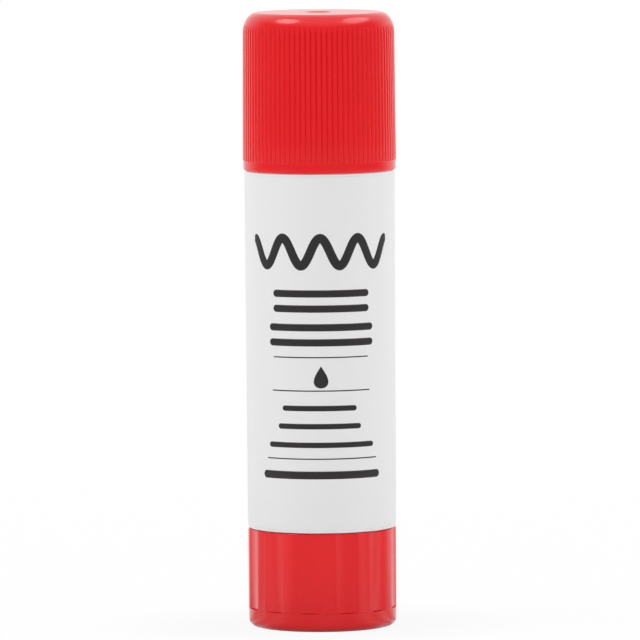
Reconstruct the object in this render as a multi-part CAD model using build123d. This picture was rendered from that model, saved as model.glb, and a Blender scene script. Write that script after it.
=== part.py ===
from build123d import *
import math
import os

# Twist-up glue stick, standing on its knob with the cap pushed on.
# Millimetres, +Z up, the foot of the knob on z = 0 and the stick's axis on the Z axis.

# Clearances
turning_gap = 0.1
bore_clearance = 0.15
carrier_clearance = 0.2
thread_clearance = 0.18
cap_clearance = 0.2
socket_clearance = 0.05
cut_overrun = 1.0

# Barrel: a tube that widens a little towards the shoulder, with a narrower neck for the cap
bore_radius = 10.35
barrel_flare = 0.18
barrel_length = 59.6
barrel_edge_chamfer = 0.25
neck_wall = 0.95
neck_length = 20.0
neck_edge_chamfer = 0.35
guide_count = 4
guide_width = 0.9
guide_height = 0.6
guide_stop = 2.2
guide_first_angle = 45.0

# Label wrapped round the barrel
label_thickness = 0.1
label_margin = 0.5
label_seam_gap = 0.3
label_seam_angle = 0.0

# Knob: a fluted cup with a collar that snaps into the barrel
knob_height = 16.4
knob_wall = 1.15
knob_floor = 1.3
foot_recess = 0.8
foot_recess_chamfer = 0.4
foot_width = 1.6
foot_round = 1.3
rim_height = 3.07
rim_inset = 0.06
flute_count = 12
flute_first_angle = 19.5
flute_width = 4.1
flute_depth = 0.45
flute_runout = 0.15
collar_wall = 1.1
collar_reach = 5.6
collar_chamfer = 0.3
bead_height = 0.25
bead_width = 1.2
bead_level = 3.0
boss_wall = 1.3
boss_height = 6.0

# Spindle: a coarse left-hand screw, keyed into the knob
core_radius = 2.2
thread_height = 0.8
thread_root_width = 2.5
thread_crest_width = 1.5
thread_lead = 6.0
thread_sink = 0.5
spindle_key_size = 3.4
spindle_key_length = 5.0
spindle_flange_radius = 3.4
spindle_flange_height = 1.0
spindle_tip_chamfer = 0.6

# Carrier: the cup that holds the glue and runs on the spindle
carrier_gap = 0.5
carrier_height = 8.0
carrier_wall = 1.15
carrier_floor = 1.2
nut_height = 5.5
nut_wall = 1.3
fin_count = 4
fin_height = 3.4
fin_thickness = 0.8
carrier_stop = 5.6

# Glue
glue_recess = 1.6
glue_edge_chamfer = 0.5
spindle_room = 0.25

# Cap
cap_wall = 1.04
cap_draft = 0.16
cap_headroom = 4.8
cap_top_wall = 1.4
cap_overhang = 0.26
cap_corner_chamfer = 1.0
shoulder_width = 2.4
shoulder_height = 3.4
rib_count = 88
rib_height = 0.22
rib_crest_share = 0.5
groove_overrun = 0.11
band_height = 1.7
band_proud = 0.13
band_chamfer = 0.35
gate_radius = 2.1
gate_depth = 0.35
gate_nub_radius = 0.7
gate_nub_height = 0.2
plug_wall = 0.8
plug_reach = 1.2
plug_chamfer = 0.3
grip_count = 6
grip_width = 0.7
grip_proud = 0.12
grip_length = 12.0

# Radii and levels that follow from the sizes above
neck_radius = bore_radius + neck_wall
cap_bore = neck_radius + cap_clearance
rib_root_radius = cap_bore + cap_wall
rib_crest_radius = rib_root_radius + rib_height
band_radius = rib_root_radius + band_proud
barrel_top_radius = rib_crest_radius - cap_overhang - label_thickness
barrel_foot_radius = barrel_top_radius - barrel_flare
outer_foot_radius = barrel_foot_radius + label_thickness
collar_radius = bore_radius - bore_clearance
collar_top = knob_height + collar_reach
barrel_foot = knob_height + turning_gap
shoulder_level = barrel_foot + barrel_length
mouth_level = shoulder_level + neck_length
guide_foot = collar_top + turning_gap
guide_top = mouth_level - guide_stop
floor_top = foot_recess + knob_floor
boss_top = floor_top + boss_height
carrier_foot = collar_top + carrier_gap
carrier_radius = bore_radius - carrier_clearance
carrier_rim = carrier_foot + carrier_height
carrier_travel = mouth_level - carrier_stop - carrier_rim
thread_radius = core_radius + thread_height
spindle_shoulder = boss_top + spindle_flange_height
spindle_top = carrier_foot + nut_height + carrier_travel
glue_top = mouth_level - glue_recess
cap_ceiling = mouth_level + cap_headroom
cap_top = cap_ceiling + cap_top_wall
band_top = shoulder_level + band_height
shoulder_foot = cap_top - shoulder_height


def turned(outline, *curves):
    """Turn an outline about the upright axis: (radius, height) points, closed by a straight line or by curves."""
    line = Polyline([(radius, 0, height) for radius, height in outline], close=not curves)
    return revolve(make_face([line, *curves]), Axis.Z)


def ring(inner, outer, low, high):
    """Make a plain ring between two radii and two heights."""
    return turned([(inner, low), (outer, low), (outer, high), (inner, high)])


def rod(radius, low, high):
    """Make a plain round bar on the axis between two heights."""
    return Pos(0, 0, low) * Cylinder(radius, high - low, align=(Align.CENTER, Align.CENTER, Align.MIN))


def bar(near, far, width, low, high):
    """Make a radial bar along +X between two radii, centred on its width."""
    block = Box(far - near, width, high - low, align=(Align.MIN, Align.CENTER, Align.MIN))
    return Pos(near, 0, low) * block


def around(shape, count, first_angle=0):
    """Repeat a shape evenly about the upright axis."""
    return [Rot(0, 0, first_angle + index * 360 / count) * shape for index in range(count)]


def ridge(low, high, grow):
    """Sweep the screw's ridge along a left-hand helix, grown all round by a clearance."""
    slant = (thread_root_width - thread_crest_width) / 2 / thread_height
    inner = core_radius - thread_sink
    outer = thread_radius + grow
    half_crest = thread_crest_width / 2 - slant * grow + grow * math.hypot(1, slant)
    half_inner = half_crest + slant * (outer - inner)
    section = make_face(Polyline(
        (inner, 0, -half_inner), (outer, 0, -half_crest), (outer, 0, half_crest), (inner, 0, half_inner),
        close=True,
    ))
    path = Helix(thread_lead, high - low, core_radius, lefthand=True)
    # every ridge is turned to one common helix, so that screw and nut mesh wherever they start
    start = Pos(0, 0, low) * Rot(0, 0, -360 * low / thread_lead)
    return start * sweep(section, path=path, is_frenet=True)


def barrel_side(level):
    """Give the radius of the barrel's flared side at a level."""
    return barrel_foot_radius + barrel_flare * (level - barrel_foot) / barrel_length


def flared_side(low, high, lift):
    """Draw the barrel's flared side between two levels, lifted off it by a thickness."""
    return Bezier((barrel_side(low) + lift, 0, low), (barrel_side(high) + lift, 0, high))


def make_barrel():
    """Mould the barrel: outer tube, neck, bore, snap groove and the guides that stop the carrier turning."""
    groove_depth = bead_height
    groove_level = knob_height + bead_level
    groove_half = bead_width / 2 + bore_clearance
    side_foot = barrel_foot + barrel_edge_chamfer
    side_top = shoulder_level - barrel_edge_chamfer
    body = turned([
        (barrel_side(side_top), side_top),
        (barrel_top_radius - barrel_edge_chamfer, shoulder_level),
        (neck_radius, shoulder_level),
        (neck_radius, mouth_level - neck_edge_chamfer),
        (neck_radius - neck_edge_chamfer, mouth_level),
        (bore_radius, mouth_level),
        (bore_radius, barrel_foot),
        (barrel_foot_radius - barrel_edge_chamfer, barrel_foot),
        (barrel_side(side_foot), side_foot),
    ], flared_side(side_foot, side_top, 0))
    groove = turned([
        (bore_radius - cut_overrun, groove_level - groove_half),
        (bore_radius, groove_level - groove_half),
        (bore_radius + groove_depth, groove_level - groove_half + groove_depth),
        (bore_radius + groove_depth, groove_level + groove_half - groove_depth),
        (bore_radius, groove_level + groove_half),
        (bore_radius - cut_overrun, groove_level + groove_half),
    ])
    body -= groove
    # each guide is sunk into the wall by its own height, so that it joins the round bore
    guide = bar(bore_radius - guide_height, bore_radius + guide_height, guide_width, guide_foot, guide_top)
    return body + around(guide, guide_count, guide_first_angle)


def make_label():
    """Wrap the label round the barrel, with its butt seam at the side."""
    low = barrel_foot + label_margin
    high = shoulder_level - label_margin
    lower_edge = [(barrel_side(low), low), (barrel_side(low) + label_thickness, low)]
    upper_edge = Line((barrel_side(high), 0, high), (barrel_side(high) + label_thickness, 0, high))
    wrap = turned(lower_edge, flared_side(low, high, label_thickness), upper_edge, flared_side(low, high, 0))
    seam = bar(bore_radius, barrel_side(high) + cut_overrun, label_seam_gap, low - cut_overrun, high + cut_overrun)
    return wrap - Rot(0, 0, label_seam_angle) * seam


def make_flute():
    """Shape the cutter for one flute: a large round bar whose lower edge is bevelled for the run-out."""
    half_width = flute_width / 2
    chord_depth = outer_foot_radius - math.sqrt(outer_foot_radius**2 - half_width**2)
    arc_depth = flute_depth - chord_depth
    flute_radius = (half_width**2 + arc_depth**2) / (2 * arc_depth)
    cutter = rod(flute_radius, rim_height, knob_height + cut_overrun)
    cutter = chamfer(cutter.edges().sort_by(Axis.Z)[0], flute_runout)
    return Pos(outer_foot_radius - flute_depth + flute_radius, 0, 0) * cutter


def make_knob():
    """Mould the knob: fluted skirt, foot ring, collar with its snap bead, and the keyed boss."""
    rim_radius = outer_foot_radius - rim_inset
    foot_inner = rim_radius - foot_round - foot_width
    skirt_inner = outer_foot_radius - flute_depth - knob_wall
    shell = turned([
        (foot_inner, 0),
        (rim_radius, 0),
        (rim_radius, rim_height),
        (outer_foot_radius, rim_height + rim_inset),
        (outer_foot_radius, knob_height),
        (skirt_inner, knob_height),
        (skirt_inner, floor_top),
        (0, floor_top),
        (0, foot_recess),
        (foot_inner - foot_recess_chamfer, foot_recess),
    ])
    foot_edge = shell.edges().filter_by(GeomType.CIRCLE).sort_by(Axis.Z).filter_by(
        lambda edge: edge.center().Z < foot_recess and edge.radius > rim_radius - rim_inset
    )
    shell = fillet(foot_edge, foot_round)
    shell -= around(make_flute(), flute_count, flute_first_angle)
    bead_low = knob_height + bead_level - bead_width / 2
    bead_high = bead_low + bead_width
    collar = turned([
        (collar_radius - collar_wall, floor_top),
        (collar_radius, floor_top),
        (collar_radius, bead_low),
        (collar_radius + bead_height, bead_low + bead_height),
        (collar_radius + bead_height, bead_high - bead_height),
        (collar_radius, bead_high),
        (collar_radius, collar_top - collar_chamfer),
        (collar_radius - collar_chamfer, collar_top),
        (collar_radius - collar_wall, collar_top),
    ])
    boss = rod(spindle_key_size / 2 * math.sqrt(2) + boss_wall, floor_top, boss_top)
    key_size = spindle_key_size + 2 * socket_clearance
    key_floor = boss_top - spindle_key_length - socket_clearance
    socket = Pos(0, 0, key_floor) * Box(
        key_size, key_size, boss_height + cut_overrun, align=(Align.CENTER, Align.CENTER, Align.MIN)
    )
    return shell + collar + boss - socket


def make_spindle():
    """Mould the spindle: square key, flange, core and the left-hand ridge."""
    key = Pos(0, 0, boss_top - spindle_key_length) * Box(
        spindle_key_size, spindle_key_size, spindle_key_length + spindle_flange_height,
        align=(Align.CENTER, Align.CENTER, Align.MIN),
    )
    flange = rod(spindle_flange_radius, boss_top, spindle_shoulder)
    core = turned([
        (0, boss_top),
        (core_radius, boss_top),
        (core_radius, spindle_top - spindle_tip_chamfer),
        (core_radius - spindle_tip_chamfer, spindle_top),
        (0, spindle_top),
    ])
    low = spindle_shoulder + thread_root_width / 2
    high = spindle_top - spindle_tip_chamfer - thread_root_width / 2
    return core + flange + key + ridge(low, high, 0)


def carrier_blank():
    """Shape the carrier before its thread and notches: cup, floor, boss and the fins that hold the glue."""
    cup = ring(carrier_radius - carrier_wall, carrier_radius, carrier_foot, carrier_rim)
    floor = rod(carrier_radius, carrier_foot, carrier_foot + carrier_floor)
    boss = rod(thread_radius + thread_clearance + nut_wall, carrier_foot, carrier_foot + nut_height)
    fin = bar(thread_radius, carrier_radius - carrier_wall / 2, fin_thickness, carrier_foot, carrier_foot + fin_height)
    return cup + floor + boss + around(fin, fin_count)


def make_carrier():
    """Mould the carrier: its blank, notched for the barrel's guides and threaded for the spindle."""
    notch = make_guide_notch(carrier_foot - cut_overrun, carrier_rim + cut_overrun)
    body = carrier_blank() - around(notch, guide_count, guide_first_angle)
    body -= rod(core_radius + thread_clearance, carrier_foot - cut_overrun, carrier_foot + nut_height + cut_overrun)
    low = carrier_foot - thread_lead / 2
    high = carrier_foot + nut_height + thread_lead / 2
    return body - ridge(low, high, thread_clearance)


def make_guide_notch(low, high):
    """Shape the cutter for the groove in which one of the barrel's guides runs."""
    near = bore_radius - guide_height - carrier_clearance
    return bar(near, bore_radius + cut_overrun, guide_width + 2 * carrier_clearance, low, high)


def make_glue():
    """Cast the glue into the carrier and up the barrel, round the spindle and the guides."""
    column = turned([
        (0, carrier_foot),
        (carrier_radius, carrier_foot),
        (carrier_radius, glue_top - glue_edge_chamfer),
        (carrier_radius - glue_edge_chamfer, glue_top),
        (0, glue_top),
    ])
    notch = make_guide_notch(carrier_foot - cut_overrun, glue_top + cut_overrun)
    column -= around(notch, guide_count, guide_first_angle)
    column -= carrier_blank()
    return column - rod(thread_radius + spindle_room, carrier_foot, spindle_top + spindle_room)


def crest_at(level):
    """Give the radius of the cap's rib crests at a level on its tapered wall."""
    return rib_crest_radius - cap_draft * (level - band_top) / (shoulder_foot - band_top)


def cap_blank():
    """Turn the cap before its ribs are cut and its room is taken out: band, wall, rounded shoulder, flat top."""
    top_radius = crest_at(shoulder_foot) - shoulder_width
    shoulder_plane = Plane(origin=(top_radius, 0, shoulder_foot), x_dir=(1, 0, 0), z_dir=(0, -1, 0))
    shoulder = shoulder_plane * EllipticalCenterArc((0, 0), shoulder_width, shoulder_height, arc_size=90)
    return turned([
        (top_radius, cap_top),
        (0, cap_top),
        (0, shoulder_level),
        (band_radius - band_chamfer, shoulder_level),
        (band_radius, shoulder_level + band_chamfer),
        (band_radius, band_top),
        (rib_crest_radius, band_top),
        (crest_at(shoulder_foot), shoulder_foot),
    ], shoulder)


def groove_section(level):
    """Draw the groove between two of the cap's ribs at one level: a V with its point at the ribs' root."""
    half_angle = (1 - rib_crest_share) * math.pi / rib_count
    root = crest_at(level) - rib_height
    reach = (rib_height + groove_overrun) / rib_height
    outer = root + (crest_at(level) * math.cos(half_angle) - root) * reach
    side = crest_at(level) * math.sin(half_angle) * reach
    return make_face(Polyline((root, 0, level), (outer, -side, level), (outer, side, level), close=True))


def make_cap():
    """Mould the cap: blank, room, seal plug, inner grip ribs and gate mark, and the grooves between its ribs last."""
    room = turned([
        (0, shoulder_level - cut_overrun),
        (cap_bore, shoulder_level - cut_overrun),
        (cap_bore, cap_ceiling - cap_corner_chamfer),
        (cap_bore - cap_corner_chamfer, cap_ceiling),
        (0, cap_ceiling),
    ])
    plug_radius = bore_radius - bore_clearance
    plug_foot = mouth_level - plug_reach
    plug = turned([
        (plug_radius - plug_wall, plug_foot),
        (plug_radius - plug_chamfer, plug_foot),
        (plug_radius, plug_foot + plug_chamfer),
        (plug_radius, cap_ceiling + cap_top_wall / 2),
        (plug_radius - plug_wall, cap_ceiling + cap_top_wall / 2),
    ])
    grip = bar(cap_bore - grip_proud, cap_bore + cap_wall / 2, grip_width, band_top, band_top + grip_length)
    gate_floor = cap_top - gate_depth
    body = cap_blank() - room + plug + around(grip, grip_count)
    body -= rod(gate_radius, gate_floor, cap_top + cut_overrun)
    body += rod(gate_nub_radius, gate_floor, gate_floor + gate_nub_height)
    groove = loft([groove_section(band_top), groove_section(cap_top + cut_overrun)], ruled=True)
    return body - around(groove, rib_count)


def main():
    """Build every piece and write one file for each."""
    os.makedirs("parts", exist_ok=True)
    pieces = {
        "barrel": make_barrel(),
        "label": make_label(),
        "knob": make_knob(),
        "spindle": make_spindle(),
        "carrier": make_carrier(),
        "glue": make_glue(),
        "cap": make_cap(),
    }
    for name, shape in pieces.items():
        export_step(shape, f"parts/{name}.step")
        print(name, round(shape.volume, 1), shape.is_valid)
    print("height", cap_top, "travel", carrier_travel, "turns", carrier_travel / thread_lead)


main()
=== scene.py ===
"""Twist-up glue stick: its finished surfaces over the solid model, with a studio stage and the camera."""

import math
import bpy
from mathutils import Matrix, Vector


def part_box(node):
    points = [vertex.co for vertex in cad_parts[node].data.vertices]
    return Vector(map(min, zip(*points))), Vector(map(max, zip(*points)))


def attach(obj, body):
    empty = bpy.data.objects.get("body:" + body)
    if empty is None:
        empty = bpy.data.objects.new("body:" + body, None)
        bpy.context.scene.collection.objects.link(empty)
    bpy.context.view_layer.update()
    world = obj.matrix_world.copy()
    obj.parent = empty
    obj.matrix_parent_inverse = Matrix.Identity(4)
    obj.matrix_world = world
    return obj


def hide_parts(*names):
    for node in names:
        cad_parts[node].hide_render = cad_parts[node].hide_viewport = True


bl_info = {
    "name": "Glue Stick",
    "version": (1, 0, 0),
    "blender": (4, 5, 0),
    "location": "View3D > Sidebar > Glue Stick",
    "description": "Builds the finished surfaces of a twist-up glue stick over its solid model",
    "category": "Add Mesh",
}

import bpy
import numpy as np
from mathutils import Matrix, Vector

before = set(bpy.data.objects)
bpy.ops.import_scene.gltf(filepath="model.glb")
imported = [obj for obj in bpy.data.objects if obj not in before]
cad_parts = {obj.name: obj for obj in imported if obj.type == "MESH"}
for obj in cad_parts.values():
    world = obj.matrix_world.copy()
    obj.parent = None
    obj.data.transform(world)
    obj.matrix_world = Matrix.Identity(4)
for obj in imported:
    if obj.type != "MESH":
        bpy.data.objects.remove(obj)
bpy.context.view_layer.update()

MM = 0.001

# The angle from which an edge is left sharp
FACET_ANGLE = math.radians(32)

# Columns round the turned pieces, and for each rib round the cap
COLUMNS = 720
COLUMNS_PER_RIB = 10

# Columns and rows of the film, and points along and across each printed shape. A stripe has more of them
# along each of its round ends.
FILM_COLUMNS = 361
FILM_ROWS = 25
WAVE_POINTS = (241, 7)
DROP_POINTS = (49, 6)
STRIPE_POINTS = (41, 5)
STRIPE_END_POINTS = 9

# How fast the printed drop narrows to its point, and what brings it back to its full width
DROP_TAPER = 1.4
DROP_FULLNESS = 1.25

# Corners of the solids' boxes, in metres, which give their levels and radii
cap_low, cap_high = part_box("cap")
barrel_low, barrel_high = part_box("barrel")
label_low, label_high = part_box("label")
knob_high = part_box("knob")[1]
carrier_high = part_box("carrier")[1]
glue_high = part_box("glue")[1]


def length(name, description, millimetres):
    """Declare a length, given in millimetres and held in metres."""
    return bpy.props.FloatProperty(
        name=name, description=description, default=millimetres * MM, min=0, unit="LENGTH", precision=5,
    )


def count(name, description, number):
    """Declare a number of like features."""
    return bpy.props.IntProperty(name=name, description=description, default=number, min=1)


def turn(name, description, degrees):
    """Declare an angle, given in degrees and held in radians."""
    return bpy.props.FloatProperty(
        name=name, description=description, default=math.radians(degrees), subtype="ANGLE",
    )


def share(name, description, value):
    """Declare a share between 0 and 1."""
    return bpy.props.FloatProperty(
        name=name, description=description, default=value, min=0, max=1, subtype="FACTOR",
    )


def shade(name, description, code):
    """Declare a colour from its sRGB hex code."""
    return bpy.props.FloatVectorProperty(
        name=name, description=description, default=linear(code), size=3, min=0, max=1, subtype="COLOR",
    )


def linear(code):
    """Turn an sRGB hex code into linear red, green and blue, by the curve of the sRGB standard."""
    parts = np.array([int(code[start:start + 2], 16) for start in (1, 3, 5)]) / 255
    return tuple(np.where(parts <= 0.04045, parts / 12.92, ((parts + 0.055) / 1.055) ** 2.4).tolist())


class CapSizes(bpy.types.PropertyGroup):
    """Sizes of the cap."""

    wall: length("Wall", "Wall between the bore and the crests of the ribs", 1.26)
    draft: length("Draft", "How much the ribbed wall narrows towards the shoulder", 0.16)
    rib_count: count("Ribs", "Upright ribs round the cap", 88)
    rib_height: length("Rib height", "Depth of the grooves between the ribs, at the band", 0.18)
    rib_deepening: length("Rib deepening", "How much deeper the grooves are at the shoulder", 0.05)
    crest_share: share("Crest share", "Part of each rib's pitch that its crest takes", 0.5)
    rib_ease: length("Rib ease", "Rounding where a groove meets a crest or the shoulder", 0.04)
    band_height: length("Band height", "Height of the plain band at the mouth", 1.7)
    band_inset: length("Band inset", "How far the band lies inside the crests of the ribs", 0.09)
    band_round: length("Band round", "Rounding of the band's lower edge", 0.35)
    shoulder_width: length("Shoulder width", "Width of the rounded shoulder, seen from above", 2.4)
    shoulder_height: length("Shoulder height", "Height of the rounded shoulder", 3.4)
    top_wall: length("Top wall", "Thickness of the cap's top", 1.4)
    room_chamfer: length("Room chamfer", "Chamfer of the room's upper corner", 1.0)
    plug_radius: length("Plug radius", "Outer radius of the ring that seals the barrel", 10.2)
    plug_wall: length("Plug wall", "Wall of the sealing ring", 0.8)
    plug_depth: length("Plug depth", "How far the sealing ring hangs from the ceiling", 6.0)
    plug_chamfer: length("Plug chamfer", "Lead-in at the foot of the sealing ring", 0.3)
    grip_count: count("Grips", "Low ribs inside that grip the neck", 6)
    grip_width: length("Grip width", "Width of a grip rib", 0.7)
    grip_proud: length("Grip proud", "Height of a grip rib", 0.12)
    grip_length: length("Grip length", "Length of a grip rib", 12.0)
    gate_radius: length("Gate radius", "Radius of the dimple in the top", 2.1)
    gate_depth: length("Gate depth", "Depth of the dimple", 0.35)
    nub_radius: length("Nub radius", "Radius of the trimmed sprue in the dimple", 0.7)
    nub_height: length("Nub height", "Height of the trimmed sprue", 0.2)
    edge: length("Edge", "Rounding of the small edges", 0.06)


class BarrelSizes(bpy.types.PropertyGroup):
    """Sizes of the barrel."""

    bore: length("Bore", "Radius of the bore", 10.35)
    flare: length("Flare", "How much wider the barrel is at its shoulder than at its foot", 0.18)
    neck_radius: length("Neck radius", "Radius of the neck that the cap pushes on to", 11.3)
    neck_length: length("Neck length", "Length of the neck", 20.0)
    neck_chamfer: length("Neck chamfer", "Chamfer at the mouth", 0.35)
    edge: length("Edge", "Rounding of the barrel's two outer edges", 0.25)
    guide_count: count("Guides", "Upright guides in the bore", 4)
    guide_width: length("Guide width", "Width of a guide", 0.9)
    guide_height: length("Guide height", "How far a guide stands into the bore", 0.6)
    guide_stop: length("Guide stop", "Gap between the guides and the mouth", 2.2)
    guide_foot: length("Guide foot", "Level of the guides' lower ends", 22.1)
    guide_turn: turn("Guide turn", "Angle of the first guide", 45)
    groove_level: length("Groove level", "Level of the snap groove for the knob's bead", 19.4)
    groove_half: length("Groove half", "Half of the snap groove's width", 0.75)
    groove_depth: length("Groove depth", "Depth of the snap groove", 0.25)


class LabelSizes(bpy.types.PropertyGroup):
    """Sizes of the label and its print."""

    thickness: length("Thickness", "Thickness of the film", 0.1)
    seam_gap: length("Seam gap", "Gap between the film's two ends", 0.3)
    ink: length("Ink", "Thickness of the printed ink", 0.012)
    wave_level: length("Wave level", "Middle of the printed wave", 63.2)
    wave_height: length("Wave height", "Height of the wave's swing each way", 2.3)
    wave_length: length("Wave length", "Length of the whole wave along the film", 26.0)
    wave_count: count("Waves", "Swings in the printed wave", 4)
    wave_stroke: length("Wave stroke", "Width of the wave's stroke", 1.5)
    drop_level: length("Drop level", "Middle of the printed drop", 42.5)
    drop_height: length("Drop height", "Height of the printed drop", 3.7)
    drop_width: length("Drop width", "Width of the printed drop", 2.7)


class KnobSizes(bpy.types.PropertyGroup):
    """Sizes of the knob."""

    height: length("Height", "Level of the knob's top face", 16.4)
    skirt_inner: length("Skirt inner", "Inner radius of the outer skirt", 10.72)
    foot_round: length("Foot round", "Rounding of the lower edge", 1.3)
    foot_width: length("Foot width", "Width of the ring that the stick stands on", 1.6)
    recess: length("Recess", "Depth of the recess under the knob", 0.8)
    recess_chamfer: length("Recess chamfer", "Slope at the recess's edge", 0.4)
    rim_height: length("Rim height", "Height of the plain rim below the flutes", 3.07)
    rim_inset: length("Rim inset", "How far the rim lies inside the lands between the flutes", 0.06)
    flute_count: count("Flutes", "Upright flutes round the knob", 12)
    flute_turn: turn("Flute turn", "Angle of the first flute", 19.5)
    flute_width: length("Flute width", "Width of a flute", 4.1)
    flute_depth: length("Flute depth", "Depth of a flute", 0.45)
    notch_height: length("Notch height", "Height of the fine notch at a flute's lower end", 0.12)
    notch_share: share("Notch share", "How much deeper the notch is, as a share of the flute's depth", 0.5)
    flute_ease: length("Flute ease", "Rounding where a flute meets a land", 0.1)
    floor: length("Floor", "Level of the floor inside the knob", 2.1)
    collar_radius: length("Collar radius", "Outer radius of the collar that sits in the barrel", 10.2)
    collar_wall: length("Collar wall", "Wall of the collar", 1.1)
    collar_chamfer: length("Collar chamfer", "Lead-in at the top of the collar", 0.3)
    bead_level: length("Bead level", "Level of the middle of the snap bead", 19.4)
    bead_half: length("Bead half", "Half of the snap bead's width", 0.6)
    bead_height: length("Bead height", "How far the snap bead stands out", 0.25)
    boss_radius: length("Boss radius", "Radius of the boss that holds the spindle", 3.7)
    boss_top: length("Boss top", "Level of the boss's top", 8.1)
    socket_radius: length("Socket radius", "Radius of the room for the spindle's key", 2.46)
    socket_floor: length("Socket floor", "Level of the socket's floor", 3.05)
    edge: length("Edge", "Rounding of the top edge", 0.12)


class GlueSizes(bpy.types.PropertyGroup):
    """Sizes of the glue column."""

    cup_radius: length("Cup radius", "Radius of the glue inside the carrier's cup", 8.98)
    cup_foot: length("Cup foot", "Level of the glue's lower end, above the carrier's fins", 25.95)
    nut_radius: length("Nut radius", "Radius of the room for the carrier's boss", 4.5)
    nut_top: length("Nut top", "Level of the top of that room", 28.05)
    spindle_radius: length("Spindle radius", "Radius of the room for the spindle", 3.25)
    spindle_top: length("Spindle top", "Level of the top of that room", 88.25)
    notch_width: length("Notch width", "Width of a groove that clears a guide of the barrel", 1.3)
    notch_radius: length("Notch radius", "Radius of the grooves' floors", 9.55)
    edge: length("Edge", "Rounding of the top edge", 0.5)


class StageSizes(bpy.types.PropertyGroup):
    """The camera's place, pitch, roll and lens, and the floor's width."""

    camera_distance: length("Camera distance", "Distance from the camera to its aim", 1495)
    camera_pitch: turn("Camera pitch", "How far the camera looks down", 4.57)
    camera_roll: turn("Camera roll", "Roll of the camera about its view", -0.42)
    aim_side: length("Aim side", "How far right of the stick's axis the camera aims", -0.1)
    aim_level: length("Aim level", "Level that the camera aims at", 51.0)
    camera_lens: bpy.props.FloatProperty(
        name="Lens", description="Focal length in millimetres on a 36 mm sensor", default=505.3, min=1,
    )
    floor_width: length("Floor width", "Side of the square floor", 24000)


class StickColours(bpy.types.PropertyGroup):
    """Colours of the finishes."""

    red: shade("Red", "Moulded red plastic", "#EC161D")
    red_deep: shade("Deep red", "Flow marks in the red plastic", "#E4131A")
    white: shade("White", "Moulded white plastic", "#ECECEC")
    film: shade("Film", "Satin label film", "#E7E7E7")
    ink: shade("Ink", "Charcoal printing ink", "#2B2828")
    natural: shade("Natural", "Plastic without pigment", "#E6E7E2")
    glue: shade("Glue", "Solid white glue", "#F0ECDF")
    paper: shade("Floor", "Pale floor", "#FFFFFF")
    # Painted shadow: the floor near the stick's foot is given this darker colour
    painted_foot_shadow: shade("Floor at the foot", "Floor where the stick's foot keeps the light off it", "#ACACAC")


def arc(centre, radii, start, end, steps):
    """Points of an elliptical arc: centre plus radii times the cosine and sine of even steps, in degrees."""
    angles = np.radians(np.linspace(start, end, steps))
    return np.stack([centre[0] + radii[0] * np.cos(angles), centre[1] + radii[1] * np.sin(angles)], axis=1)


def run(start, end, steps):
    """Points of a straight run: start plus an even share of the way to end."""
    return np.linspace(start, end, steps)


def profile(*stretches):
    """Join points and stretches of points into one outline of (radius, level) rows."""
    return np.concatenate([np.atleast_2d(stretch) for stretch in stretches])


def soft_min(first, second, ease):
    """The lesser of two surfaces, rounded where they cross.

    It is half of: their sum, less the root of their difference squared and the ease squared, added up.
    """
    return (first + second - np.sqrt((first - second) ** 2 + ease ** 2)) / 2


def angles_around(columns):
    """Evenly spaced angles for the columns of a turned piece."""
    return np.arange(columns) * (2 * math.pi / columns)


def carry_round(outline, angles):
    """Carry an outline round the axis: a radius for each point at each angle, and a level for each point."""
    return np.repeat(outline[:, :1], len(angles), axis=1), outline[:, 1:]


def from_nearest(angles, number, first):
    """Angle from each column to the nearest of a number of evenly spaced places, the first one given."""
    pitch = 2 * math.pi / number
    return (angles - first + pitch / 2) % pitch - pitch / 2


def on_bars(angles, number, first, width, radius):
    """True where a column lies on one of some evenly spaced upright bars, of a given width at a radius."""
    return np.abs(radius * np.sin(from_nearest(angles, number, first))) <= width / 2


def turned_mesh(name, radius, level, angles, closed=False):
    """Join rows of an outline, turned about the upright axis, into a mesh.

    A vertex is (radius cos angle, radius sin angle, level), one row for each point of the outline and one
    column for each angle. A closed outline joins its last row to its first. An open one starts and ends on
    the axis, where a single point closes it.
    """
    rows, columns = radius.shape
    level = np.broadcast_to(level, radius.shape)
    vertices = np.stack([radius * np.cos(angles), radius * np.sin(angles), level], axis=2).reshape(-1, 3)
    row = np.arange(rows if closed else rows - 1)[:, None]
    column = np.arange(columns)[None, :]
    right = (column + 1) % columns
    below = (row + 1) % rows
    quads = np.stack(np.broadcast_arrays(
        row * columns + column, below * columns + column, below * columns + right, row * columns + right,
    ), axis=2).reshape(-1, 4)
    faces = quads.tolist()
    if not closed:
        first_pole = len(vertices)
        poles = np.array([[0, 0, level[0, 0]], [0, 0, level[-1, 0]]])
        vertices = np.concatenate([vertices, poles])
        last_row = (rows - 1) * columns
        column = column[0]
        right = right[0]
        first_fan = [np.full(columns, first_pole), column, right]
        last_fan = [last_row + column, np.full(columns, first_pole + 1), last_row + right]
        for fan in (first_fan, last_fan):
            faces += np.stack(fan, axis=1).tolist()
    mesh = bpy.data.meshes.new(name)
    mesh.from_pydata(vertices.tolist(), [], faces)
    smooth(mesh)
    return mesh


def sheet_mesh(name, sheets):
    """Join open grids of points, each of shape (rows, columns, 3), into a mesh of quads that face outwards."""
    vertices = []
    faces = []
    start = 0
    for sheet in sheets:
        rows, columns = sheet.shape[:2]
        row = np.arange(rows - 1)[:, None]
        column = np.arange(columns - 1)[None, :]
        corner = start + row * columns + column
        quads = np.stack([corner, corner + 1, corner + columns + 1, corner + columns], axis=2)
        faces.append(quads.reshape(-1, 4))
        vertices.append(sheet.reshape(-1, 3))
        start += rows * columns
    mesh = bpy.data.meshes.new(name)
    mesh.from_pydata(np.concatenate(vertices).tolist(), [], np.concatenate(faces).tolist())
    smooth(mesh)
    return mesh


def smooth(mesh):
    """Shade a mesh smooth, with its real edges left sharp."""
    mesh.update()
    mesh.shade_smooth()
    mesh.set_sharp_from_angle(angle=FACET_ANGLE)


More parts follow.
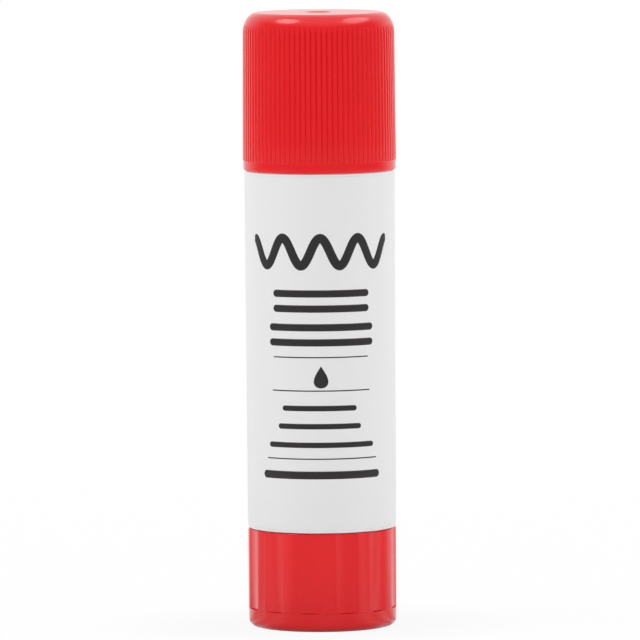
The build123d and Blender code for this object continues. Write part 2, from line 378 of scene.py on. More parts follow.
def place(name, mesh, material, body, node=None):
    """Put a piece in the scene: on its body and in the place of its node."""
    piece = bpy.data.objects.new(name, mesh)
    bpy.context.scene.collection.objects.link(piece)
    mesh.materials.append(material)
    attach(piece, body)
    if node:
        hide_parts(node)
    return piece


def thicken(piece, thickness):
    """Give an open sheet its thickness, inwards from its outer face."""
    wall = piece.modifiers.new("Thickness", "SOLIDIFY")
    wall.thickness = thickness
    wall.offset = -1


def build_cap(sizes):
    """The cap: a turned outline whose wall is cut by upright V grooves.

    On the wall and the shoulder the radius is the lesser of the plain form and of crest radius less groove
    depth. The depth falls in a straight line from the middle of a groove to the edge of a crest, and grows
    evenly up the wall. The inside is turned too, and its grips stand inwards where a column lies on one.
    """
    top = cap_high.z
    mouth = cap_low.z
    edge = sizes.edge
    crest = cap_high.x
    band_top = mouth + sizes.band_height
    band_radius = crest - sizes.band_inset
    bore = crest - sizes.wall
    shoulder_foot = top - sizes.shoulder_height
    flat_radius = crest - sizes.draft - sizes.shoulder_width
    gate_floor = top - sizes.gate_depth
    ceiling = top - sizes.top_wall
    plug_foot = ceiling - sizes.plug_depth
    plug_inner = sizes.plug_radius - sizes.plug_wall
    grip_top = band_top + sizes.grip_length
    outline = profile(
        (sizes.nub_radius / 2, gate_floor + sizes.nub_height),
        (sizes.nub_radius - edge, gate_floor + sizes.nub_height),
        (sizes.nub_radius, gate_floor + sizes.nub_height - edge),
        (sizes.nub_radius, gate_floor),
        (sizes.gate_radius - edge, gate_floor),
        (sizes.gate_radius, gate_floor + edge),
        arc((sizes.gate_radius + edge, top - edge), (edge, edge), 180, 90, 4),
        run((sizes.gate_radius + 3 * edge, top), (flat_radius - edge, top), 4),
        arc((flat_radius, shoulder_foot), (sizes.shoulder_width, sizes.shoulder_height), 90, 0, 34),
        run((crest - sizes.draft, shoulder_foot), (crest, band_top + edge), 7)[1:],
        (band_radius, band_top - edge),
        run((band_radius, band_top - 2 * edge), (band_radius, mouth + sizes.band_round), 3),
        arc(
            (band_radius - sizes.band_round, mouth + sizes.band_round),
            (sizes.band_round, sizes.band_round), 0, -90, 7,
        )[1:],
        arc((bore + edge, mouth + edge), (edge, edge), -90, -180, 4),
        (bore, band_top),
        (bore, band_top + edge),
        (bore, grip_top),
        (bore, grip_top + edge),
        (bore, ceiling - sizes.room_chamfer),
        (bore - sizes.room_chamfer, ceiling),
        (sizes.plug_radius, ceiling),
        (sizes.plug_radius, plug_foot + sizes.plug_chamfer),
        (sizes.plug_radius - sizes.plug_chamfer, plug_foot),
        (plug_inner, plug_foot),
        (plug_inner, ceiling),
        (plug_inner / 2, ceiling),
    )
    angles = angles_around(sizes.rib_count * COLUMNS_PER_RIB)
    radius, level = carry_round(outline, angles)
    # a column's distance from the middle of its groove, from 0 to 1 at the middle of a crest
    across = np.abs((angles * sizes.rib_count / math.pi) % 2 - 1)
    rise = (level - band_top) / (shoulder_foot - band_top)
    crest_line = crest - sizes.draft * rise
    groove_depth = sizes.rib_height + sizes.rib_deepening * rise
    groove_depth = groove_depth * np.clip(1 - across / (1 - sizes.crest_share), 0, 1)
    ribbed = soft_min(radius, crest_line - groove_depth + sizes.rib_ease / 2, sizes.rib_ease)
    radius = np.where(level > band_top, ribbed, radius)
    inside = (np.abs(outline[:, :1] - bore) < edge / 2) & (level > band_top) & (level < grip_top + edge / 2)
    on_grip = on_bars(angles, sizes.grip_count, 0, sizes.grip_width, bore)
    radius = np.where(inside & on_grip, bore - sizes.grip_proud, radius)
    return turned_mesh("cap_shell", radius, level, angles)


def build_barrel(sizes):
    """The barrel: a closed outline turned about the axis, with guides that stand inwards from its bore."""
    mouth = barrel_high.z
    foot = barrel_low.z
    shoulder = mouth - sizes.neck_length
    top_radius = barrel_high.x
    foot_radius = top_radius - sizes.flare
    edge = sizes.edge
    step = edge / 10
    guide_top = mouth - sizes.guide_stop
    groove_low = sizes.groove_level - sizes.groove_half
    groove_high = sizes.groove_level + sizes.groove_half
    outline = profile(
        (sizes.bore, mouth),
        (sizes.neck_radius - sizes.neck_chamfer, mouth),
        (sizes.neck_radius, mouth - sizes.neck_chamfer),
        run((sizes.neck_radius, mouth - 2 * sizes.neck_chamfer), (sizes.neck_radius, shoulder), 4),
        arc((top_radius - edge, shoulder - edge), (edge, edge), 90, 0, 7),
        run((top_radius, shoulder - edge), (foot_radius, foot + edge), 9)[1:-1],
        arc((foot_radius - edge, foot + edge), (edge, edge), 0, -90, 7),
        (sizes.bore, foot),
        (sizes.bore, groove_low),
        (sizes.bore + sizes.groove_depth, groove_low + sizes.groove_depth),
        (sizes.bore + sizes.groove_depth, groove_high - sizes.groove_depth),
        (sizes.bore, groove_high),
        (sizes.bore, sizes.guide_foot),
        (sizes.bore, sizes.guide_foot + step),
        (sizes.bore, guide_top - step),
        (sizes.bore, guide_top),
    )
    angles = angles_around(COLUMNS)
    radius, level = carry_round(outline, angles)
    guided = (level > sizes.guide_foot) & (level < guide_top) & (outline[:, :1] < sizes.bore + step)
    on_guide = on_bars(angles, sizes.guide_count, sizes.guide_turn, sizes.guide_width, sizes.bore)
    radius = np.where(guided & on_guide, sizes.bore - sizes.guide_height, radius)
    return turned_mesh("barrel_tube", radius, level, angles, closed=True)


def film_radius(level, barrel):
    """Radius of the film's outer face at a level: it narrows downwards at the same slope as the barrel."""
    slope = barrel.flare / (barrel_high.z - barrel.neck_length - barrel_low.z)
    return label_high.x - slope * (label_high.z - level)


def build_label(sizes, barrel):
    """The film: an open sheet round the barrel, its angle along one way and its level along the other.

    A row close to each edge keeps the rounding of the edge's shading off the rest of the film.
    """
    half_gap = sizes.seam_gap / 2 / label_high.x
    angles = np.linspace(half_gap, 2 * math.pi - half_gap, FILM_COLUMNS)
    level = np.linspace(label_low.z + sizes.thickness / 2, label_high.z - sizes.thickness / 2, FILM_ROWS)
    level = np.concatenate([[label_low.z], level, [label_high.z]])[:, None]
    radius = film_radius(level, barrel)
    return sheet_mesh("label_wrap", [np.stack(np.broadcast_arrays(
        radius * np.cos(angles), radius * np.sin(angles), level,
    ), axis=2)])


def wrap_print(along, level, lift, barrel):
    """Lay flat print on the film: the angle from the front is the length along it over its radius."""
    radius = film_radius(level, barrel)
    angle = along / radius
    return np.stack([(radius + lift) * np.sin(angle), -(radius + lift) * np.cos(angle), level], axis=2)


def stripe(middle, width, level, height):
    """A printed stripe with round ends: each end is half a circle, as high as the stripe."""
    points, rows = STRIPE_POINTS
    half = height / 2
    straight = width / 2 - half
    ends = np.sin(np.linspace(0, math.pi / 2, STRIPE_END_POINTS)) * half
    middles = np.linspace(-straight, straight, points)[1:-1]
    along = np.concatenate([-straight - ends[::-1], middles, straight + ends])
    past = np.clip((np.abs(along) - straight) / half, 0, 1)
    tall = half * np.sqrt(1 - past ** 2)
    up = np.linspace(-1, 1, rows)[:, None]
    return np.broadcast_arrays(middle + along[None, :], level + up * tall[None, :])


def wave(sizes):
    """The printed wave: a stroke of even width along a cosine, each point moved square to the line.

    The stroke's two ends are round, as a stripe's are.
    """
    points, rows = WAVE_POINTS
    along = np.linspace(-0.5, 0.5, points) * sizes.wave_length
    beat = 2 * math.pi * sizes.wave_count / sizes.wave_length
    height = sizes.wave_height * np.cos(beat * along)
    slope = -sizes.wave_height * beat * np.sin(beat * along)
    size = np.sqrt(1 + slope ** 2)
    past = np.clip((np.abs(along) * 2 - sizes.wave_length) / sizes.wave_stroke + 1, 0, 1)
    across = np.linspace(-0.5, 0.5, rows)[:, None] * sizes.wave_stroke * np.sqrt(1 - past ** 2)
    return along - across * slope / size, sizes.wave_level + height + across / size


def drop(sizes):
    """The printed drop: a circle that narrows upwards to a point, filled by rings that shrink to its middle.

    It narrows by a power of the sine of half the angle from its point.
    """
    points, rings = DROP_POINTS
    angle = np.linspace(0, 2 * math.pi, points)
    reach = np.linspace(0, 1, rings)[::-1][:, None]
    narrow = np.sin(angle / 2) ** DROP_TAPER
    along = sizes.drop_width / 2 * np.sin(angle) * narrow * DROP_FULLNESS * reach
    up = sizes.drop_height / 2 * np.cos(angle) * reach
    return along, sizes.drop_level + up


# Printed stripes: middle, width, level and height, in millimetres along the film and up the stick
STRIPES = (
    (0.1, 17.0, 56.3, 1.2),
    (0.1, 17.0, 53.8, 1.2),
    (0.1, 18.6, 50.7, 1.2),
    (0.1, 18.6, 48.2, 1.2),
    (0.0, 16.8, 45.75, 0.2),
    (0.0, 17.4, 40.2, 0.2),
    (-0.3, 12.8, 37.3, 0.9),
    (-0.3, 14.4, 34.3, 0.9),
    (0.0, 18.8, 31.2, 0.9),
    (0.1, 20.0, 28.9, 0.2),
    (0.0, 21.6, 26.2, 1.3),
)


def build_print(sizes, barrel):
    """All the print in one mesh: wave, stripes, rules and drop, laid on the film."""
    shapes = [wave(sizes), drop(sizes)]
    shapes += [stripe(*(np.array(row) * MM)) for row in STRIPES]
    return sheet_mesh("label_print", [wrap_print(along, level, sizes.ink, barrel) for along, level in shapes])


def flute_radius(sizes, angles, notched, land):
    """Radius of the knob inside a flute: the near side of a round bar that stands beside the knob.

    The bar's middle is a fixed distance out from the axis, and its own radius follows from the flute's width
    and depth. In a notched row the flute is deeper by an even share.
    """
    half = sizes.flute_width / 2
    bow = sizes.flute_depth - (land - math.sqrt(land ** 2 - half ** 2))
    bar = (half ** 2 + bow ** 2) / (2 * bow)
    middle = land - sizes.flute_depth + bar
    offset = from_nearest(angles, sizes.flute_count, sizes.flute_turn)
    reach = bar ** 2 - (middle * np.sin(offset)) ** 2
    near = middle * np.cos(offset) - np.sqrt(np.clip(reach, 0, None))
    near = near - notched * sizes.notch_share * np.clip(land - near, 0, None)
    return np.where(reach > 0, near, 2 * land)


def build_knob(sizes):
    """The knob: a turned outline whose skirt is the lesser of the plain wall and the flutes' round bars."""
    land = knob_high.x
    rim = land - sizes.rim_inset
    edge = sizes.edge
    foot_inner = rim - sizes.foot_round - sizes.foot_width
    collar_inner = sizes.collar_radius - sizes.collar_wall
    bead_low = sizes.bead_level - sizes.bead_half
    bead_high = sizes.bead_level + sizes.bead_half
    ledge = sizes.rim_height + sizes.rim_inset
    notch_top = ledge + sizes.notch_height
    notch_roof = notch_top - sizes.notch_height / 8
    outline = profile(
        (sizes.socket_radius / 2, sizes.socket_floor),
        (sizes.socket_radius, sizes.socket_floor),
        (sizes.socket_radius, sizes.boss_top),
        (sizes.boss_radius, sizes.boss_top),
        (sizes.boss_radius, sizes.floor),
        (collar_inner, sizes.floor),
        (collar_inner, knob_high.z),
        (sizes.collar_radius - sizes.collar_chamfer, knob_high.z),
        (sizes.collar_radius, knob_high.z - sizes.collar_chamfer),
        (sizes.collar_radius, bead_high),
        (sizes.collar_radius + sizes.bead_height, bead_high - sizes.bead_height),
        (sizes.collar_radius + sizes.bead_height, bead_low + sizes.bead_height),
        (sizes.collar_radius, bead_low),
        (sizes.collar_radius, sizes.floor),
        (sizes.skirt_inner, sizes.floor),
        (sizes.skirt_inner, sizes.height),
        (land - 6 * edge, sizes.height),
        arc((land - edge, sizes.height - edge), (edge, edge), 90, 0, 6),
        run((land, sizes.height - 2 * edge), (land, notch_top), 6),
        (land, notch_roof),
        (land, ledge),
        (rim, sizes.rim_height),
        run((rim, sizes.rim_height - edge), (rim, sizes.foot_round), 3),
        arc((rim - sizes.foot_round, sizes.foot_round), (sizes.foot_round, sizes.foot_round), 0, -90, 15)[1:],
        (foot_inner, 0),
        (foot_inner - sizes.recess_chamfer, sizes.recess),
        (foot_inner / 2, sizes.recess),
    )
    angles = angles_around(COLUMNS)
    radius, level = carry_round(outline, angles)
    notched = level < (notch_top + notch_roof) / 2
    flute = flute_radius(sizes, angles, notched, land)
    inset = land - np.clip(outline[:, :1], land - edge, land)
    fluted = soft_min(radius, flute - inset + sizes.flute_ease / 2, sizes.flute_ease)
    skirt = (outline[:, :1] > sizes.skirt_inner + edge) & (level > sizes.rim_height)
    return turned_mesh("knob_shell", np.where(skirt, fluted, radius), level, angles)


def build_glue(sizes, barrel):
    """The glue: a turned column, narrower in the cup, hollow for the nut and spindle, and grooved outside."""
    top = glue_high.z
    column = glue_high.x
    edge = sizes.edge
    outline = profile(
        run((column / 8, top), (column - edge, top), 5),
        arc((column - edge, top - edge), (edge, edge), 90, 0, 7)[1:],
        run((column, top - 2 * edge), (column, carrier_high.z), 5),
        (sizes.cup_radius, carrier_high.z),
        (sizes.cup_radius, sizes.cup_foot),
        (sizes.nut_radius, sizes.cup_foot),
        (sizes.nut_radius, sizes.nut_top),
        (sizes.spindle_radius, sizes.nut_top),
        (sizes.spindle_radius, sizes.spindle_top),
        (sizes.spindle_radius / 2, sizes.spindle_top),
    )
    angles = angles_around(COLUMNS)
    radius, level = carry_round(outline, angles)
    notched = on_bars(angles, barrel.guide_count, barrel.guide_turn, sizes.notch_width, column)
    radius = np.where(notched, np.minimum(radius, sizes.notch_radius), radius)
    return turned_mesh("glue_column", radius, level, angles)


# Grain of the slow flow marks in moulded plastic, the share by which its roughness swings each way, and how
# much of a layer of noise the next finer layer keeps
FLOW_GRAIN = 7 * MM
ROUGHNESS_SWING = 0.15
NOISE_FALL = 0.55


def new_material(name):
    """Start a node material that is empty but for its output."""
    material = bpy.data.materials.new(name)
    material.use_nodes = True
    material.node_tree.nodes.clear()
    return material


def add_node(tree, kind, inputs=None, **settings):
    """Add a node with its properties set, and its inputs filled by values or by other nodes' outputs.

    Inputs that share a name go by number: a Mix node's 0 is the share of the second one, 2 and 3 are its
    numbers, and 6 and 7 its colours.
    """
    node = tree.nodes.new(kind)
    for name, value in settings.items():
        setattr(node, name, value)
    for name, value in (inputs or {}).items():
        if isinstance(value, bpy.types.NodeSocket):
            tree.links.new(value, node.inputs[name])
        else:
            node.inputs[name].default_value = value
    return node


def opaque(colour):
    """Add full opacity to a colour."""
    return (*colour, 1)


def noise(tree, grain, detail):
    """Noise on object coordinates whose grain is a length in metres."""
    place_node = add_node(tree, "ShaderNodeTexCoord")
    return add_node(tree, "ShaderNodeTexNoise", {
        "Vector": place_node.outputs["Object"], "Scale": 1 / grain, "Detail": detail, "Roughness": NOISE_FALL,
    })


def moulded_plastic(
    name, colour, deep, roughness, grain, relief, scatter=0.0, spread=(1.0, 1.0, 1.0), ior=1.49,
):
    """Injection-moulded plastic: two close tones in slow flow marks, and the fine relief of a polished tool.

    Scatter is how much of the light goes in and comes out again, and spread how far its red, green and blue
    go, in millimetres.
    """
    material = new_material(name)
    tree = material.node_tree
    flow = noise(tree, FLOW_GRAIN, detail=2)
    fine = noise(tree, grain, detail=3)
    tone = add_node(tree, "ShaderNodeMix", {
        0: flow.outputs["Fac"], 6: opaque(deep), 7: opaque(colour),
    }, data_type="RGBA")
    rough = add_node(tree, "ShaderNodeMapRange", {
        "Value": fine.outputs["Fac"],
        "To Min": roughness * (1 - ROUGHNESS_SWING), "To Max": roughness * (1 + ROUGHNESS_SWING),
    })
    bump = add_node(tree, "ShaderNodeBump", {
        "Height": fine.outputs["Fac"], "Distance": relief, "Strength": 1.0,
    })
    surface = add_node(tree, "ShaderNodeBsdfPrincipled", {
        "Base Color": tone.outputs[2], "Roughness": rough.outputs["Result"], "IOR": ior,
        "Normal": bump.outputs["Normal"], "Subsurface Weight": scatter,
        "Subsurface Radius": spread, "Subsurface Scale": MM,
    })
    add_node(tree, "ShaderNodeOutputMaterial", {"Surface": surface.outputs["BSDF"]})
    return material


def red_polypropylene(colours):
    """Polypropylene with red pigment, moulded: a strong even red with a soft, slightly broad gloss."""
    return moulded_plastic(
        "Red polypropylene, moulded", colours.red, colours.red_deep, roughness=0.17, grain=0.35 * MM,
        relief=0.0015 * MM, scatter=0.15, spread=(1.2, 0.6, 0.5),
    )


def white_polypropylene(colours):
    """Polypropylene with white pigment, moulded: a cool white with a soft gloss."""
    return moulded_plastic(
        "White polypropylene, moulded", colours.white, colours.white, roughness=0.32, grain=0.35 * MM,
        relief=0.003 * MM, scatter=0.05,
    )


def natural_polypropylene(colours):
    """Polypropylene without pigment, moulded: milky, and lit from within where it is thin."""
    return moulded_plastic(
        "Natural polypropylene, moulded", colours.natural, colours.natural, roughness=0.38, grain=0.4 * MM,
        relief=0.004 * MM, scatter=0.3,
    )


def label_film(colours):
    """White polypropylene film, calendered: a satin sheen with long faint ripples where it was wrapped."""
    return moulded_plastic(
        "Satin label film, calendered", colours.film, colours.film, roughness=0.38, grain=4 * MM,
        relief=0.004 * MM,
    )


def printing_ink(colours):
    """Flexographic ink: dense charcoal, a little glossier than the film under it."""
    return moulded_plastic(
        "Charcoal ink, printed", colours.ink, colours.ink, roughness=0.42, grain=0.3 * MM, relief=0.002 * MM,
    )


def solid_glue(colours):
    """Solid soap-based glue, cast: waxy off-white that scatters light, with a faintly grained skin."""
    return moulded_plastic(
        "Solid glue, cast", colours.glue, colours.glue, roughness=0.5, grain=0.5 * MM, relief=0.02 * MM,
        scatter=0.4, ior=1.45,
    )


# Brightness of the studio in front of the stick, behind it and above it, as gloss shows it, and then of the
# light that falls on the stick from the walls and from overhead
ROOM_FRONT = 0.22
ROOM_BACK = 1.0
ROOM_TOP = 1.3
WALLS = 1.6
OVERHEAD = 0.05

# Shares of a direction that point away behind the stick, and that point up, between which the room brightens
ROOM_BACKWARD = (0.1, 0.75)
ROOM_UPWARD = (0.45, 0.9)


def room_brightness(tree, direction):
    """Brightness that the studio shows to the plastic: dark in front, and white behind and above.

    It rises smoothly with the share of the direction that points away behind the stick, and again with the
    share that points up.
    """
    flat = add_node(tree, "ShaderNodeVectorMath", {0: direction, 1: (1, 1, 0)}, operation="MULTIPLY")
    unit = add_node(tree, "ShaderNodeVectorMath", {0: flat.outputs[0]}, operation="NORMALIZE")
    parts = add_node(tree, "ShaderNodeSeparateXYZ", {0: unit.outputs[0]})
    room = add_node(tree, "ShaderNodeMapRange", {
        "Value": parts.outputs["Y"], "From Min": ROOM_BACKWARD[0], "From Max": ROOM_BACKWARD[1],
        "To Min": ROOM_FRONT, "To Max": ROOM_BACK,
    }, interpolation_type="SMOOTHSTEP")
    whole = add_node(tree, "ShaderNodeSeparateXYZ", {0: direction})
    upward = add_node(tree, "ShaderNodeMapRange", {
        "Value": whole.outputs["Z"], "From Min": ROOM_UPWARD[0], "From Max": ROOM_UPWARD[1],
    }, interpolation_type="SMOOTHSTEP")
    return add_node(tree, "ShaderNodeMix", {
        0: upward.outputs["Result"], 2: room.outputs["Result"], 3: ROOM_TOP,
    }).outputs[0]


# Distances from the stick's axis, in metres, between which the floor goes over from painted glare streaks to
# the room in the gloss, from a trace of the stick's shadow to plain white before the camera, and from its
# painted shadow at the foot to its own colour
PAINTED_STREAKS_REACH = (0.2, 0.9)
SHADOW_REACH = (0.05, 0.4)
PAINTED_SHADE_REACH = (0.013, 0.04)

# Share of plain white in the floor that the camera sees, near the stick and far from it
FLOOR_WHITE = (0.93, 1.0)

# Painted glare of the side lights: brightness of the floor beside the stick in gloss, by degrees from the
# front to the back
PAINTED_GLARE = (
    (0, 0.55), (38, 0.5), (61, 0.95), (76, 0.6), (90, 1.0), (104, 0.5), (128, 1.0), (150, 0.8), (180, 0.7),
)


def painted_floor_glare(tree, spot):
    """Brightness that the floor shows to the plastic: painted glare streaks near the stick, and the room
    further off.
    """
    parts = add_node(tree, "ShaderNodeSeparateXYZ", {0: spot})
    aside = add_node(tree, "ShaderNodeMath", {0: parts.outputs["X"]}, operation="ABSOLUTE")
    ahead = add_node(tree, "ShaderNodeMath", {0: parts.outputs["Y"], 1: -1}, operation="MULTIPLY")
    angle = add_node(tree, "ShaderNodeMath", {0: aside.outputs[0], 1: ahead.outputs[0]}, operation="ARCTAN2")
    half_turn = add_node(tree, "ShaderNodeMath", {0: angle.outputs[0], 1: math.pi}, operation="DIVIDE")
    streaks = add_node(tree, "ShaderNodeValToRGB", {0: half_turn.outputs[0]})
    stops = streaks.color_ramp.elements
    for degrees, _ in PAINTED_GLARE[1:-1]:
        stops.new(degrees / 180)
    for stop, (_, brightness) in zip(stops, PAINTED_GLARE):
        stop.color = (brightness, brightness, brightness, 1)
    streaks.color_ramp.interpolation = "EASE"
    away = add_node(tree, "ShaderNodeVectorMath", {0: spot}, operation="LENGTH")
    far = add_node(tree, "ShaderNodeMapRange", {
        "Value": away.outputs["Value"], "From Min": PAINTED_STREAKS_REACH[0], "From Max": PAINTED_STREAKS_REACH[1],
    }, interpolation_type="SMOOTHSTEP")
    glare = add_node(tree, "ShaderNodeMix", {
        0: far.outputs["Result"], 2: streaks.outputs["Color"], 3: room_brightness(tree, spot),
    })
    return glare.outputs[0]


def in_gloss(tree):
    """1 for a ray that a glossy or clear surface sends out, and 0 for any other."""
    path = add_node(tree, "ShaderNodeLightPath")
    return add_node(tree, "ShaderNodeMath", {
        0: path.outputs["Is Glossy Ray"], 1: path.outputs["Is Transmission Ray"],
    }, operation="MAXIMUM").outputs[0]


def white_floor(colours):
    """Matt white paper: white to the camera but for a soft shadow, with painted shadow at the foot; in gloss
    the room, with painted glare near the stick.
    """
    material = new_material("White paper sweep, matt")
    tree = material.node_tree
    path = add_node(tree, "ShaderNodeLightPath")
    place_node = add_node(tree, "ShaderNodeTexCoord")
    away = add_node(tree, "ShaderNodeVectorMath", {0: place_node.outputs["Object"]}, operation="LENGTH")
    clear = add_node(tree, "ShaderNodeMapRange", {
        "Value": away.outputs["Value"], "From Min": SHADOW_REACH[0], "From Max": SHADOW_REACH[1],
        "To Min": FLOOR_WHITE[0], "To Max": FLOOR_WHITE[1],
    })
    outside_painted_shade = add_node(tree, "ShaderNodeMapRange", {
        "Value": away.outputs["Value"], "From Min": PAINTED_SHADE_REACH[0], "From Max": PAINTED_SHADE_REACH[1],
    }, interpolation_type="SMOOTHSTEP")
    # Painted shadow: the floor's colour darkens towards the stick's foot
    tone = add_node(tree, "ShaderNodeMix", {
        0: outside_painted_shade.outputs["Result"], 6: opaque(colours.painted_foot_shadow), 7: opaque(colours.paper),
    }, data_type="RGBA")
    paper = add_node(tree, "ShaderNodeBsdfDiffuse", {"Color": tone.outputs[2]})
    white = add_node(tree, "ShaderNodeEmission", {"Color": opaque(colours.paper), "Strength": 1.0})
    # Painted glare: in gloss the floor shines with streaks that stand in for the side lights' reflection
    painted_glow = add_node(tree, "ShaderNodeEmission", {
        "Color": opaque(colours.paper), "Strength": painted_floor_glare(tree, place_node.outputs["Object"]),
    })
    amount = add_node(tree, "ShaderNodeMath", {
        0: path.outputs["Is Camera Ray"], 1: clear.outputs["Result"],
    }, operation="MULTIPLY")
    seen = add_node(tree, "ShaderNodeMixShader", {
        0: amount.outputs[0], 1: paper.outputs[0], 2: white.outputs[0],
    })
    whole = add_node(tree, "ShaderNodeMixShader", {0: in_gloss(tree), 1: seen.outputs[0], 2: painted_glow.outputs[0]})
    add_node(tree, "ShaderNodeOutputMaterial", {"Surface": whole.outputs[0]})
    return material


def studio_world():
    """White all round for the camera, the room for gloss, and else a light that is weaker from overhead."""
    world = bpy.data.worlds.new("Studio")
    world.use_nodes = True
    tree = world.node_tree
    tree.nodes.clear()
    path = add_node(tree, "ShaderNodeLightPath")
    place_node = add_node(tree, "ShaderNodeTexCoord")
    parts = add_node(tree, "ShaderNodeSeparateXYZ", {0: place_node.outputs["Generated"]})
    plain = add_node(tree, "ShaderNodeMapRange", {
        "Value": parts.outputs["Z"], "To Min": WALLS, "To Max": OVERHEAD,
    })
    room = add_node(tree, "ShaderNodeMix", {
        0: in_gloss(tree), 2: plain.outputs["Result"],
        3: room_brightness(tree, place_node.outputs["Generated"]),
    })
    strength = add_node(tree, "ShaderNodeMix", {0: path.outputs["Is Camera Ray"], 2: room.outputs[0], 3: 1.0})
    light = add_node(tree, "ShaderNodeBackground", {"Color": (1, 1, 1, 1), "Strength": strength.outputs[0]})
    add_node(tree, "ShaderNodeOutputWorld", {"Surface": light.outputs[0]})
    bpy.context.scene.world = world


# Softboxes: name, degrees round from the front towards the right and up from level, then distance, width and
# height in metres, and power in watts
SOFTBOXES = (
    ("softbox_left", -76, 56, 1.2, 0.66, 0.52, 3.6),
    ("softbox_right", 92, 54, 1.2, 1.0, 0.55, 3.6),
)


def add_softbox(name, azimuth, elevation, distance, width, height, power):
    """An oval light that faces the mouth of the cap, from which its distance is measured."""
    light = bpy.data.lights.new(name, "AREA")
    light.shape = "ELLIPSE"
    light.size = width
    light.size_y = height
    light.energy = power
    lamp = bpy.data.objects.new(name, light)
    bpy.context.scene.collection.objects.link(lamp)
    side = math.radians(azimuth)
    up = math.radians(elevation)
    away = Vector((math.sin(side) * math.cos(up), -math.cos(side) * math.cos(up), math.sin(up)))
    lamp.location = away * distance + Vector((0, 0, cap_low.z))
    lamp.rotation_euler = away.to_track_quat("Z", "Y").to_euler()
    lamp.visible_camera = False


# Width of the camera's sensor in millimetres, and the furthest that it sees in metres
SENSOR_WIDTH = 36
CLIP_END = 100


def add_camera(sizes):
    """The camera: aimed down at the stick from the front, a little rolled, as the photograph was taken."""
    lens = bpy.data.cameras.new("Camera")
    lens.lens = sizes.camera_lens
    lens.sensor_width = SENSOR_WIDTH
    lens.clip_end = CLIP_END
    camera = bpy.data.objects.new("Camera", lens)
    bpy.context.scene.collection.objects.link(camera)
    aim = Vector((sizes.aim_side, 0, sizes.aim_level))
    away = Vector((0, -math.cos(sizes.camera_pitch), math.sin(sizes.camera_pitch)))
    facing = away.to_track_quat("Z", "Y").to_matrix().to_4x4()
    roll = Matrix.Rotation(sizes.camera_roll, 4, "Z")
    camera.matrix_world = Matrix.Translation(aim + away * sizes.camera_distance) @ facing @ roll
    bpy.context.scene.camera = camera


class STICK_OT_cap(bpy.types.Operator):
    """Build the ribbed cap."""

    bl_idname = "stick.cap"
    bl_label = "Cap"

    def execute(self, context):
        mesh = build_cap(context.scene.stick_cap)
        material = red_polypropylene(context.scene.stick_colours)
        place("cap_shell", mesh, material, "cap", "cap")
        return {"FINISHED"}


class STICK_OT_barrel(bpy.types.Operator):
    """Build the barrel."""

    bl_idname = "stick.barrel"
    bl_label = "Barrel"

    def execute(self, context):
        mesh = build_barrel(context.scene.stick_barrel)
        material = white_polypropylene(context.scene.stick_colours)
        place("barrel_tube", mesh, material, "barrel", "barrel")
        return {"FINISHED"}


class STICK_OT_label(bpy.types.Operator):
    """Build the label and its print."""

    bl_idname = "stick.label"
    bl_label = "Label"

    def execute(self, context):
        sizes = context.scene.stick_label
        barrel = context.scene.stick_barrel
        colours = context.scene.stick_colours
        mesh = build_label(sizes, barrel)
        film = place("label_wrap", mesh, label_film(colours), "barrel", "label")
        thicken(film, sizes.thickness)
        ink = place("label_print", build_print(sizes, barrel), printing_ink(colours), "barrel")
        thicken(ink, sizes.ink)
        return {"FINISHED"}


class STICK_OT_knob(bpy.types.Operator):
    """Build the fluted knob."""

    bl_idname = "stick.knob"
    bl_label = "Knob"

    def execute(self, context):
        mesh = build_knob(context.scene.stick_knob)
        material = red_polypropylene(context.scene.stick_colours)
        place("knob_shell", mesh, material, "knob", "knob")
        return {"FINISHED"}


class STICK_OT_glue(bpy.types.Operator):
    """Build the glue column."""

    bl_idname = "stick.glue"
    bl_label = "Glue"

    def execute(self, context):
        mesh = build_glue(context.scene.stick_glue, context.scene.stick_barrel)
        place("glue_column", mesh, solid_glue(context.scene.stick_colours), "carrier", "glue")
        return {"FINISHED"}


class STICK_OT_drive(bpy.types.Operator):
    """Finish the spindle and the carrier, whose solids show as they are."""

    bl_idname = "stick.drive"
    bl_label = "Spindle and carrier"

    def execute(self, context):
        material = natural_polypropylene(context.scene.stick_colours)
        for name in ("spindle", "carrier"):
            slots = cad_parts[name].material_slots
            for slot in slots:
                slot.material = material
        return {"FINISHED"}


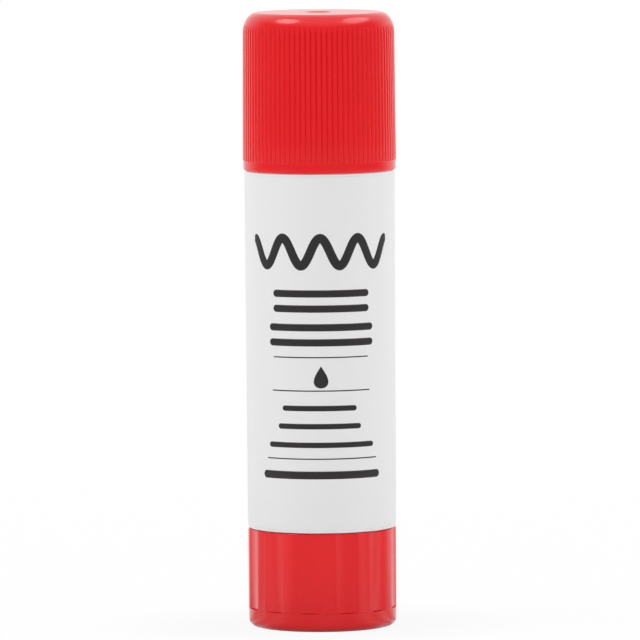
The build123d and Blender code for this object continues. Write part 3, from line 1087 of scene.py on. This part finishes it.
class STICK_OT_stage(bpy.types.Operator):
    """Set up the floor, the lights, the world and the camera."""

    bl_idname = "stick.stage"
    bl_label = "Stage"

    def execute(self, context):
        sizes = context.scene.stick_stage
        half = sizes.floor_width / 2
        square = np.array([[[-half, -half, 0], [half, -half, 0]], [[-half, half, 0], [half, half, 0]]])
        floor = bpy.data.objects.new("floor", sheet_mesh("floor", [square]))
        floor.data.materials.append(white_floor(context.scene.stick_colours))
        context.scene.collection.objects.link(floor)
        studio_world()
        for softbox in SOFTBOXES:
            add_softbox(*softbox)
        add_camera(sizes)
        context.scene.view_settings.view_transform = "Standard"
        return {"FINISHED"}


class STICK_PT_panel(bpy.types.Panel):
    """Sidebar panel with one button for each group of pieces."""

    bl_idname = "STICK_PT_panel"
    bl_label = "Glue Stick"
    bl_space_type = "VIEW_3D"
    bl_region_type = "UI"
    bl_category = "Glue Stick"

    def draw(self, context):
        for operator in OPERATORS:
            self.layout.operator(operator.bl_idname)


GROUPS = {
    "stick_cap": CapSizes,
    "stick_barrel": BarrelSizes,
    "stick_label": LabelSizes,
    "stick_knob": KnobSizes,
    "stick_glue": GlueSizes,
    "stick_stage": StageSizes,
    "stick_colours": StickColours,
}
OPERATORS = (
    STICK_OT_knob, STICK_OT_barrel, STICK_OT_label, STICK_OT_drive, STICK_OT_glue, STICK_OT_cap,
    STICK_OT_stage,
)


def register():
    """Register the sizes, the operators and the panel."""
    for name, group in GROUPS.items():
        bpy.utils.register_class(group)
        setattr(bpy.types.Scene, name, bpy.props.PointerProperty(type=group))
    for operator in OPERATORS:
        bpy.utils.register_class(operator)
    bpy.utils.register_class(STICK_PT_panel)


def unregister():
    """Take away all that register added."""
    bpy.utils.unregister_class(STICK_PT_panel)
    for operator in reversed(OPERATORS):
        bpy.utils.unregister_class(operator)
    for name, group in reversed(GROUPS.items()):
        delattr(bpy.types.Scene, name)
        bpy.utils.unregister_class(group)


def main():
    """Build every piece and the stage."""
    register()
    bpy.ops.stick.knob()
    bpy.ops.stick.barrel()
    bpy.ops.stick.label()
    bpy.ops.stick.drive()
    bpy.ops.stick.glue()
    bpy.ops.stick.cap()
    bpy.ops.stick.stage()


if __name__ == "__main__":
    main()
